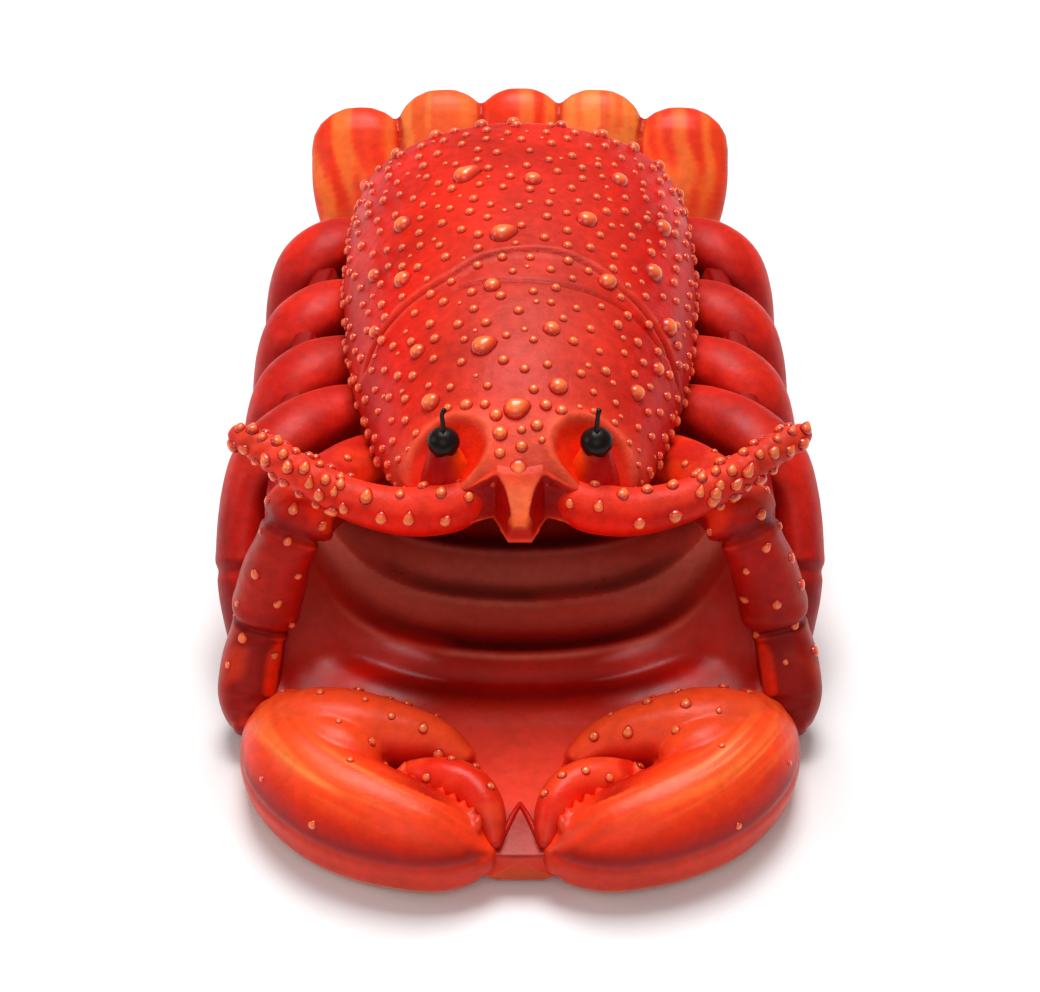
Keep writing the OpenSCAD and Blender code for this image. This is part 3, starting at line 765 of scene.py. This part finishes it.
def build_arms():
    for name, sign, flip in sides():
        part = flip(tube(ARM, ref=(0, 1, 0), sides=64, step=0.45, shape=arm_shape))
        v, f = part
        n = normals(v, f)
        _, u = beside(v, ARM, 0.8, sign)
        inward = -sign * n[:, 0]
        bevel = n @ np.array([-sign * 0.72, -0.5, 0.48])
        # Painted light among these layers: up-facing faces lighter as painted light, with orange patches
        # there that are partly random tone and partly painted light; the inward underside darker as
        # painted shade; a mauve painted sheen on the outward side; a painted highlight along the corner
        # facing out, forward and up.
        tint = paint_and_light(
            (0.50, 0.014, 0.006),
            ((0.30, 0.014, 0.008), ease(0.55, 0.75, u)),
            ((0.72, 0.040, 0.012), 0.7 * ease(0.3, 0.9, n[:, 2]) * ease(0.7, 0.5, u)),
            ((0.80, 0.10, 0.035), 0.5 * ease(0.4, 0.75, cloud(v, 8, 9)) * ease(0, 0.8, n[:, 2])),
            ((0.36, 0.010, 0.006), 0.7 * ease(0.2, 0.9, inward) * ease(0.2, -0.4, n[:, 2])),
            ((0.50, 0.075, 0.06), 0.6 * ease(0.3, 0.9, -inward)),
            ((0.95, 0.06, 0.014), ease(0.86, 0.97, bevel)),
        )
        for j in ARM_JOINTS:
            tint = mix(tint, (0.22, 0.004, 0.003), 0.85 * bell(u, j, 0.014))
        spots = scatter(v, (n @ np.array([0, -0.6, 0.8]) > 0.35) & (u > 0.2) & (u < 0.86), 6.8)
        wet = [beads(v[spots], n[spots], rng.uniform(0.7, 1.2, len(spots)),
                     stretch=rng.uniform(1.0, 1.6, len(spots)), lift=0.7)]
        piece(f"{name}_claw_arm", part, tint, 0, "base", [f"{name}_arm"], LIMB)
        bead_piece(f"{name}_claw_arm_beads", wet, "base", [f"{name}_arm"])


# --------------------------------------------------------------------- claws

PALM = [[50.5, -79, 9.5, 8], [46, -83.5, 10.5, 10.4], [36, -85, 11.4, 10.4], [26, -86, 12, 8],
        [18, -87.6, 11.6, 5.9], [12, -91, 10.6, 3.6]]
FINGER = [[51.5, -78, 8.5, 7.5], [51, -84, 8.5, 9.8], [47, -92.5, 9, 11.8], [40, -100.5, 9, 12.2],
          [31.5, -106, 9, 11.8], [23.5, -109.5, 8.8, 10.8], [16, -112, 8.4, 9.2], [10, -114, 8.4, 6.2],
          [6.6, -115.2, 8.6, 3]]
WEB = [[47, -84, 10, 9.4], [41, -90.5, 12, 9.9], [36, -93.5, 12.2, 9.2], [32.6, -94.5, 11.6, 7],
       [31, -95, 11, 4]]
HEEL_LINE = [[27, -79, 11, 0.7], [20, -80.4, 11.2, 0.55], [14, -84, 11, 0.55], [10.6, -89, 10.6, 0.6],
             [9.4, -92.5, 10.3, 0.8]]
THUMB = [[23, -95.5, 11.6, 3.4], [19.5, -97.2, 12.4, 4.6], [14.5, -98.6, 13, 5], [10.4, -100.8, 13, 4.8],
         [7.4, -105, 12.6, 4.2], [5.8, -110, 11.4, 3], [5.2, -113.6, 11, 1.4]]
TABLE_Z = 2.0


def teeth():
    """Small pointed teeth along the finger's inner edge."""
    spots = [[25, -96.2], [22.2, -98.2], [19.6, -100.4], [17, -102.6], [14.6, -104.6], [12.4, -106.6],
             [10.6, -108.6], [9.2, -110.6]]
    return [tube([[x, y - 1.6, 14.2, 1.5], [x - 0.5, y - 0.2, 15.2, 1.1], [x - 1.0, y + 1.0, 15.8, 0.45]],
                 sides=14, step=0.3) for x, y in spots]


def build_pincer(name, sign, part, heel):
    """The palm and finger; heel is the thin line round the palm's rear edge."""
    v, f = part
    n = normals(v, f)
    finger = even(FINGER, 0.8)[:, :3] * (sign, 1, 1)
    off_f, along = nearest(v, finger)
    off_p, palm_u = beside(v, PALM, 0.8, sign)
    # The underside of the dome turns to an upright wall at a crease
    front = ease(0.0, 0.5, -n[:, 1] + 0.6 * sign * n[:, 0]) * (v[:, 2] < 17)
    v = v - n * (0.3 * bell(v[:, 2], 11.2, 0.9) * front)[:, None]
    v = v + n * (0.18 * (cloud(v, 13, 4) - 0.5))[:, None]
    v[:, 2] = np.maximum(v[:, 2], TABLE_Z)
    n = normals(v, f)
    z, up = v[:, 2], n[:, 2]

    side = np.cross(np.gradient(finger, axis=0), (0, 0, 1.0))
    side /= np.linalg.norm(side, axis=1)[:, None]
    at = np.clip((along * (len(finger) - 1)).astype(int), 0, len(finger) - 1)
    across = np.einsum("ij,ij->i", v - finger[at], side[at])
    streak = cloud(np.column_stack([along * 60, across, z * 0.2]), (30, 2.3, 9), 2 + sign)
    fine = cloud(np.column_stack([along * 60, across, z * 0.3]), (16, 0.9, 5), 5 + sign)
    top = ease(0.15, 0.75, up)
    highlight_band = bell(across * sign, -2.2 + 6 * (along - 0.4), 4.6) * bell(along, 0.42, 0.32) * top
    inner = bell(off_f, 11.6, 1.2) * (sign * n[:, 0] < 0.3) * (n[:, 1] > 0.2) * ease(12, 14, z)
    # Painted light among these layers: a painted highlight on the palm's top, a streaked painted
    # highlight band along the top of the claw, and painted shade on the front faces, in a band over the
    # crease and on the finger's inner edge by the thumb.
    tint = paint_and_light(
        (0.96, 0.080, 0.026),
        ((1.0, 0.15, 0.055), 0.7 * ease(0.4, 0.9, up) * ease(2, -2, off_p - off_f)),
        ((1.0, 0.17, 0.045), 0.85 * highlight_band),
        ((1.0, 0.33, 0.10), 0.75 * highlight_band * ease(0.42, 0.8, streak)),
        ((1.0, 0.50, 0.2), 0.55 * highlight_band * ease(0.55, 0.9, fine)),
        ((0.52, 0.016, 0.008), 0.9 * ease(0.75, 0.25, up) * ease(9, 12, z) * ease(0.2, 0.5, -n[:, 1])),
        ((0.52, 0.07, 0.05), 0.55 * ease(0.7, 1.0, along) * ease(0.2, 0.8, streak)),
        ((0.30, 0.008, 0.005), 0.75 * bell(z, 12.6, 1.7) * front),
        ((0.68, 0.060, 0.026), 0.95 * ease(11.6, 10.8, z) * ease(0.6, 0.2, up)),
        ((0.95, 0.36, 0.16), 0.8 * ease(3.6, 2.7, z)),
        ((0.40, 0.012, 0.008), 0.8 * inner * ease(0.35, 0.5, along)),
    )
    on_palm = (up > 0.4) & (off_p < off_f - 2.5) & (palm_u > 0.15) & (palm_u < 0.9)
    spots = scatter(v, on_palm, 6.2)
    wet = [beads(v[spots], n[spots], rng.uniform(0.7, 1.25, len(spots)),
                 stretch=rng.uniform(1.0, 1.6, len(spots)), lift=0.65)]
    spots = scatter(v, (up > 0.3) & (along < 0.5) & (z > 13), 15, 5)
    wet.append(beads(v[spots], n[spots], rng.uniform(0.6, 1.0, len(spots))))
    tint = np.vstack([tint, plain((0.86, 0.035, 0.012), heel)])
    gloss = np.r_[np.zeros(len(v)), np.full(len(heel[0]), 0.6)]
    piece(f"{name}_pincer", joined([(v, f), heel]), tint, gloss, "base", [f"{name}_claw"],
          CLAW)
    bead_piece(f"{name}_pincer_beads", wet, "base", [f"{name}_claw"])


def build_thumb(name, sign, part):
    v, f = part
    n = normals(v, f)
    _, u = beside(v, THUMB, 0.6, sign)
    # The top lighter in patches as painted light, and the underside darker as painted shade.
    tint = paint_and_light(
        (0.84, 0.050, 0.022),
        ((1.0, 0.14, 0.06), 0.7 * ease(0.3, 0.85, n[:, 2]) * ease(0.3, 0.7, cloud(v, 6, 8))),
        ((0.30, 0.008, 0.006), 0.8 * ease(0.1, -0.4, n[:, 2])),
        ((0.45, 0.03, 0.025), 0.6 * ease(0.7, 1.0, u)),
    )
    piece(f"{name}_thumb", part, tint, 0, "base", [f"{name}_claw_thumb"], CLAW)
    spots = scatter(v, (n[:, 2] > 0.6) & (u > 0.15) & (u < 0.7), 4.6, 4)
    wet = [beads(v[spots], n[spots], np.full(len(spots), 1.0))]
    bead_piece(f"{name}_thumb_beads", wet, "base", [f"{name}_claw_thumb"])


def build_claws():
    bulk = [tube(PALM, flat=1.15), tube(FINGER, flat=1.15, sides=56), tube(WEB, flat=1.1)]
    pincer = fuse(bulk + teeth(), voxel=0.55, soften=4)
    heel = tube(HEEL_LINE, sides=14, step=0.5)
    thumb = fuse([tube(THUMB, flat=1.15)], voxel=0.45, soften=2)
    for name, sign, flip in sides():
        build_pincer(name, sign, flip(pincer), flip(heel))
        build_thumb(name, sign, flip(thumb))


# ---------------------------------------------------------------------- tray

# The tray by y: half width, height of its rim and of its floor
TRAY_ROWS = [
    [-115.5, 6.5, 9.8, 9.8], [-111.5, 14, 9.8, 9.8], [-104, 28, 9.8, 9.8], [-93, 41, 9.8, 9.8],
    [-82.5, 47, 10.6, 10], [-78, 53, 12.6, 10.6], [-74, 55, 13.6, 11.2], [-66, 56, 16, 12],
    [-61, 56, 20, 12], [-56, 56, 29, 12], [-51, 56, 37, 12], [-46, 56, 42, 12], [-40, 56, 44, 12],
    [-20, 55.5, 44, 12], [0, 54.5, 44, 12], [26, 53, 44, 12], [42, 50.5, 43, 12], [49, 49, 41, 17],
    [54, 47.5, 38.2, 38], [60, 44, 38.2, 38], [70, 38, 38.2, 38],
]
WALL, BASE_LOW, PITCH, RIDGE = 5.0, 2.0, 16.6, 1.35


def ridge_phase(x, y):
    return 2 * np.pi * (y + 27.8 - 7 * (x / 34) ** 2) / PITCH


def ridges(x, y):
    """Grip ridges as terraces: gentle towards the mouth, steep behind."""
    g = ridge_phase(x, y)
    wave = np.cos(g - 0.55 * np.sin(g)) + 0.12 * np.cos(2 * g)
    fade = np.clip(1 - (np.abs(x) / 45) ** 3, 0, 1) * ease(-80, -64, y) * ease(46, 34, y)
    return RIDGE * wave * fade, fade


def build_tray():
    rows = stations(TRAY_ROWS, 0.5)
    top_u = np.linspace(-1, 1, 141)
    rings = []
    for y, out, top, low in rows:
        top, low = max(top, low), min(top, low)
        inner = out - min(WALL, out * 0.5)
        x = inner * top_u
        s = np.abs(top_u) ** 5
        r, _ = ridges(x, np.full_like(x, y))
        z = low + (top - low) * s + r * (1 - s)
        floor = np.column_stack([x, np.full_like(x, y), z])
        edge = [[inner + 1.2, y, top + 0.25], [out - 1.6, y, top + 0.25], [out - 0.6, y, top - 0.2],
                [out - 0.1, y, top - 1.2], [out, y, top - 2.5], [out, y, (top + BASE_LOW) / 2],
                [out, y, BASE_LOW + 1.6], [out - 0.5, y, BASE_LOW + 0.5], [out - 1.6, y, BASE_LOW]]
        edge = np.array(edge)
        left = edge[::-1] * (-1, 1, 1)
        back = np.linspace(out - 3, 3 - out, 24)
        under = np.column_stack([back, np.full_like(back, y), np.full_like(back, BASE_LOW)])
        rings.append(np.vstack([left, floor, edge, under]))
    part = loft(rings)
    v, f = part
    n = normals(v, f)
    x, y, z = v.T
    _, fade = ridges(x, y)
    half = np.interp(y, rows[:, 0], rows[:, 1]) - WALL
    in_bed = (np.abs(x) < half) & (n[:, 2] > 0.05) & (z < 43)
    # 0 at a crest, growing towards the mouth
    down = np.mod(-ridge_phase(x, y), 2 * np.pi) / (2 * np.pi)
    crest = ease(1.0, 0.9, down)
    # Painted light among these layers: each ridge darkens to near black before the next crest as painted
    # shade, a thin mauve line below each crest is a painted highlight, the lighter mauve patch under the
    # head is painted light, the up-facing front flats are bright partly as painted light, and the wall
    # between the legs is darkened as painted shade.
    tint = paint_and_light(
        (0.56, 0.026, 0.014),
        ((0.58, 0.075, 0.060), 0.9 * in_bed * ease(-72, -58, y)),
        ((0.36, 0.006, 0.004), 0.95 * in_bed * fade * ease(0.22, 0.5, down) * crest),
        ((0.08, 0.002, 0.002), 0.85 * in_bed * fade * ease(0.5, 0.8, down) * crest),
        ((0.86, 0.26, 0.22), 0.85 * in_bed * fade * bell(down, 0.06, 0.045)),
        ((0.72, 0.020, 0.010), 0.5 * in_bed * ease(0.6, 0.8, cloud(v, (30, 14, 30), 2))),
        ((0.92, 0.26, 0.22), 0.85 * in_bed * bell(y, -37, 10) * (0.4 + 0.6 * ease(0.9, 0.4, down))),
        ((0.92, 0.02, 0.006), 0.7 * in_bed * bell(np.abs(x), 38, 7) * bell(y, -68, 5)),
        ((1.0, 0.12, 0.09), 0.9 * ease(-70, -84, y) * ease(0.2, 0.8, n[:, 2])),
        ((1.0, 0.10, 0.05), 0.8 * bell(y, -97, 9) * ease(0.2, 0.8, n[:, 2])),
        ((0.34, 0.05, 0.04), 0.8 * ease(-102, -106, y) * (np.abs(x) < 5) * ease(0.2, 0.8, n[:, 2])),
        ((0.86, 0.07, 0.02), 0.9 * ease(-112, -114.5, y) * ease(0.5, 0.0, n[:, 2])),
        ((0.85, 0.25, 0.10), 0.6 * ease(3.6, 2.8, z) * ease(-100, -108, y)),
        ((0.26, 0.004, 0.002), 0.9 * ease(30, 36, z) * ease(-44, -38, y) * ~in_bed),
    )
    gloss = np.where(in_bed, 0.12, 0)
    for sign in (1, -1):  # the thin raised lines of the triangle on the lip
        rib = tube([[0, -101.5, 9.9, 0.5], [sign * 1.6, -105, 10, 0.6], [sign * 3.2, -109.5, 10, 0.6],
                    [sign * 4.4, -113.5, 9.9, 0.5]], sides=14, step=0.5)
        part, tint = joined([part, rib]), np.vstack([tint, plain((0.62, 0.03, 0.015), rib)])
        gloss = np.r_[gloss, np.full(len(rib[0]), 0.4)]
    piece("tray", part, tint, gloss, "base", ["base_tray"], BED)


# ------------------------------------------------------- tail, abdomen, hood

# The abdomen and the hood by y: half width, height
ABDOMEN = [[70, 36, 61.5], [76, 36.5, 57], [81, 35.5, 51.5], [82.5, 32.5, 48], [88, 31, 45],
           [93, 28.5, 41], [94.5, 25, 37], [99, 21.5, 33.5], [103, 14, 26]]
HOOD = [[61, 36, 70.5], [64, 36, 68], [67, 36, 65.5], [70, 36, 62.5]]
HOOD_LOW, HOOD_T = 38.2, 2.4
PETALS = [
    [[0, 88, 26, 7], [0, 93, 32.5, 10.2], [0, 98, 38.5, 11.8], [0, 103, 44, 12]],
    [[14, 86, 24, 7.5], [17.4, 91.6, 31, 10.6], [19.8, 97, 37.5, 12], [20.2, 102.6, 43.6, 12.2]],
    [[36, 80, 18, 8.5], [40, 85.5, 25.5, 11.6], [41.8, 91.5, 32.5, 12.6], [42.2, 99.6, 39.8, 12.6]],
]
FAN_ROOT = [[38, 81, 20, 4], [30, 83.5, 22.5, 6], [15, 86.5, 25.5, 7], [0, 88, 27, 7.4],
            [-15, 86.5, 25.5, 7], [-30, 83.5, 22.5, 6], [-38, 81, 20, 4]]
FACE = np.array([0, -0.77, 0.64])


def build_tail():
    paths = [PETALS[0]]
    for p in PETALS[1:]:
        paths += [p, [[-q[0], *q[1:]] for q in p]]
    solids = [tube(p, ref=FACE, flat=0.5, sides=48, cap=0.85) for p in paths]
    v, f = fuse(solids + [tube(FAN_ROOT)], voxel=0.75, soften=2)
    n = normals(v, f)
    lines = [even(p, 1.5) for p in paths]
    off = np.array([nearest(v, p[:, :3])[0] for p in lines])
    order = np.sort(off, axis=0)
    seam = ease(2.6, 0.2, order[1] - order[0]) * ease(0.0, 0.5, n @ FACE)
    v = v - n * (0.5 * seam)[:, None]
    which = np.argmin(off, axis=0)
    along = np.array([nearest(v, p[:, :3])[1] for p in lines])[which, np.arange(len(v))]
    middle = np.array([p[len(p) // 2][0] for p in paths])[which]
    across = v[:, 0] - middle
    fan_out = across + 3 * np.sin(along * 3 + which)
    streak = cloud(np.column_stack([fan_out, along * 40 + which * 50, v[:, 2] * 0.1]), (3.4, 20, 20), 2)
    face = ease(0.1, 0.7, n @ FACE)
    # The dark seams between the lobes are painted shade.
    tint = paint_and_light(
        (0.66, 0.045, 0.022),
        ((0.94, 0.10, 0.030), face),
        ((1.0, 0.38, 0.12), 0.8 * face * ((which == 1) | (which == 2))),
        ((1.0, 0.33, 0.09), 0.6 * face * ease(0.4, 0.8, streak)),
        ((0.80, 0.05, 0.022), 0.5 * face * ease(0.45, 0.2, streak)),
        ((0.98, 0.30, 0.10), 0.5 * face * ease(0.55, 0.3, along) * (which > 2)),
        ((0.44, 0.012, 0.006), 0.8 * seam),
        ((0.60, 0.06, 0.035), 0.7 * ease(0.2, -0.4, n @ FACE)),
    )
    piece("tail", (v, f), tint, 0, "base", ["tail_fan"], FAN)


def build_abdomen():
    rings = []
    for y, half, top in stations(ABDOMEN, 0.5):
        step = 0.6 * (bell(y, 80.6, 0.9) + bell(y, 92.6, 0.9))
        z = 2 + (top + step - 2) * np.sin(HALF_TURN) ** 0.7
        rings.append(np.column_stack([(half + step) * np.cos(HALF_TURN), np.full_like(z, y), z]))
    part = loft(rings[::-1])
    v, f = part
    n = normals(v, f)
    dip = np.maximum(bell(v[:, 1], 82.4, 1.2), bell(v[:, 1], 94.4, 1.2))
    # Up-facing faces lighter as painted light, and the crease behind each ring's step darker as painted
    # shade.
    tint = paint_and_light(
        (0.56, 0.026, 0.014),
        ((0.74, 0.06, 0.03), ease(0.1, 0.9, n[:, 2])),
        ((0.26, 0.006, 0.004), 0.8 * dip),
        ((0.40, 0.014, 0.008), 0.6 * ease(16, 4, v[:, 2])),
    )
    piece("abdomen_shell", part, tint, 0, "base", ["abdomen"], SHELL)
    spots = scatter(v, (n[:, 2] > 0.15) & (dip < 0.1) & (v[:, 1] < 100) & (v[:, 1] > 71.5), 7.5)
    wet = [beads(v[spots], n[spots], rng.uniform(0.8, 1.2, len(spots)))]
    bead_piece("abdomen_beads", wet, "base", ["abdomen"])


def build_hood():
    rows = [(y, half, top, HOOD_LOW) for y, half, top in stations(HOOD, 0.5)]
    rings = [np.vstack([arch(r, 0), arch(r, HOOD_T)[::-1]]) for r in rows]
    part = loft_arches(rings[::-1], ARCH_POINTS)
    tint = mix((0.50, 0.02, 0.012), (0.68, 0.05, 0.03), ease(0.3, 0.7, cloud(part[0], 9, 6)))
    piece("hood", part, tint, 0, "base", ["hinge_hood"], SHELL)


# ------------------------------------------------------------ metal fittings


def dress_fittings():
    """The CAD's own metal and rubber, with softened edges and worn finishes."""
    alloy = worn("cast_alloy", (0.46, 0.47, 0.48), 0.12, 0.42, 1.0, (1, 0.06, 1), 0.2)
    steel = worn("pin_steel", (0.58, 0.57, 0.55), 0.08, 0.28, 1.0, (0.05, 1, 1), 0.12)
    rubber = worn("foot_rubber_skin", (0.028, 0.027, 0.027), 0.25, 0.68, 0.0, (1, 1, 1), 0.5)
    for material, names in (
        (alloy, ["press_lever", "hinge_bracket"]),
        (steel, ["hinge_pin", "pin_caps", "bracket_screws", "lever_screws"]),
        (rubber, ["rubber_feet"]),
    ):
        for name in names:
            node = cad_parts[name]
            for i in range(len(node.data.materials)):
                node.data.materials[i] = material
            if not node.data.materials:
                node.data.materials.append(material)
            weld = node.modifiers.new("weld", "WELD")
            weld.merge_threshold = 0.01 * MM
            bevel = node.modifiers.new("soft_edges", "BEVEL")
            bevel.width, bevel.segments, bevel.limit_method = 0.3 * MM, 2, "ANGLE"
            bevel.angle_limit = 0.6


# ------------------------------------------------------------- studio, camera


# In metres from here on: the studio is larger than the part
FLOOR_HALF, DAYLIGHT = 3.0, 0.26
LIGHTS = [  # name, place, size, power; each looks at LIT
    ("softbox_key", (0.0, 0.42, 1.1), 0.6, 12.8),
    ("softbox_front", (-0.05, -0.85, 0.95), 0.8, 2.5),
    ("softbox_left", (-1.1, 0.0, 0.6), 0.5, 1.6),
]
LIT = Vector((0, -0.02, 0.03))
LENS_MM, CAMERA_RISE, CAMERA_AWAY = 85.15, np.radians(42), 0.560
CAMERA_TARGET = Vector((0, -0.0222, 0.030))


def build_floor():
    h = FLOOR_HALF
    mesh = bpy.data.meshes.new("floor")
    mesh.from_pydata([(-h, -h, 0), (h, -h, 0), (h, h, 0), (-h, h, 0)], [], [(0, 1, 2, 3)])
    mat = bpy.data.materials.new("paper")
    mat.use_nodes = True
    shader = mat.node_tree.nodes["Principled BSDF"]
    shader.inputs["Base Color"].default_value = (0.98, 0.98, 0.98, 1)
    shader.inputs["Roughness"].default_value = 0.9
    shader.inputs["Specular IOR Level"].default_value = 0.1
    mesh.materials.append(mat)
    floor = bpy.data.objects.new("floor", mesh)
    bpy.context.scene.collection.objects.link(floor)


def build_studio():
    scene = bpy.context.scene
    scene.view_settings.view_transform = "Standard"
    world = bpy.data.worlds.new("studio")
    world.use_nodes = True
    world.node_tree.nodes["Background"].inputs["Color"].default_value = (1, 1, 1, 1)
    world.node_tree.nodes["Background"].inputs["Strength"].default_value = DAYLIGHT
    scene.world = world
    build_floor()

    for name, place, size, power in LIGHTS:
        light = bpy.data.lights.new(name, "AREA")
        light.shape, light.size, light.energy = "SQUARE", size, power
        lamp = bpy.data.objects.new(name, light)
        lamp.location = place
        lamp.rotation_euler = (LIT - Vector(place)).to_track_quat("-Z", "Y").to_euler()
        scene.collection.objects.link(lamp)

    data = bpy.data.cameras.new("camera")
    data.lens, data.sensor_width = LENS_MM, 36
    data.clip_start, data.clip_end = 0.05, 20
    camera = bpy.data.objects.new("camera", data)
    ahead = Vector((0, np.cos(CAMERA_RISE), -np.sin(CAMERA_RISE)))
    camera.location = CAMERA_TARGET - ahead * CAMERA_AWAY
    camera.rotation_euler = ahead.to_track_quat("-Z", "Y").to_euler()
    scene.collection.objects.link(camera)
    scene.camera = camera


build_carapace()
build_antennae()
build_eyes()
build_legs()
build_arms()
build_claws()
build_tray()
build_tail()
build_abdomen()
build_hood()
dress_fittings()
build_studio()
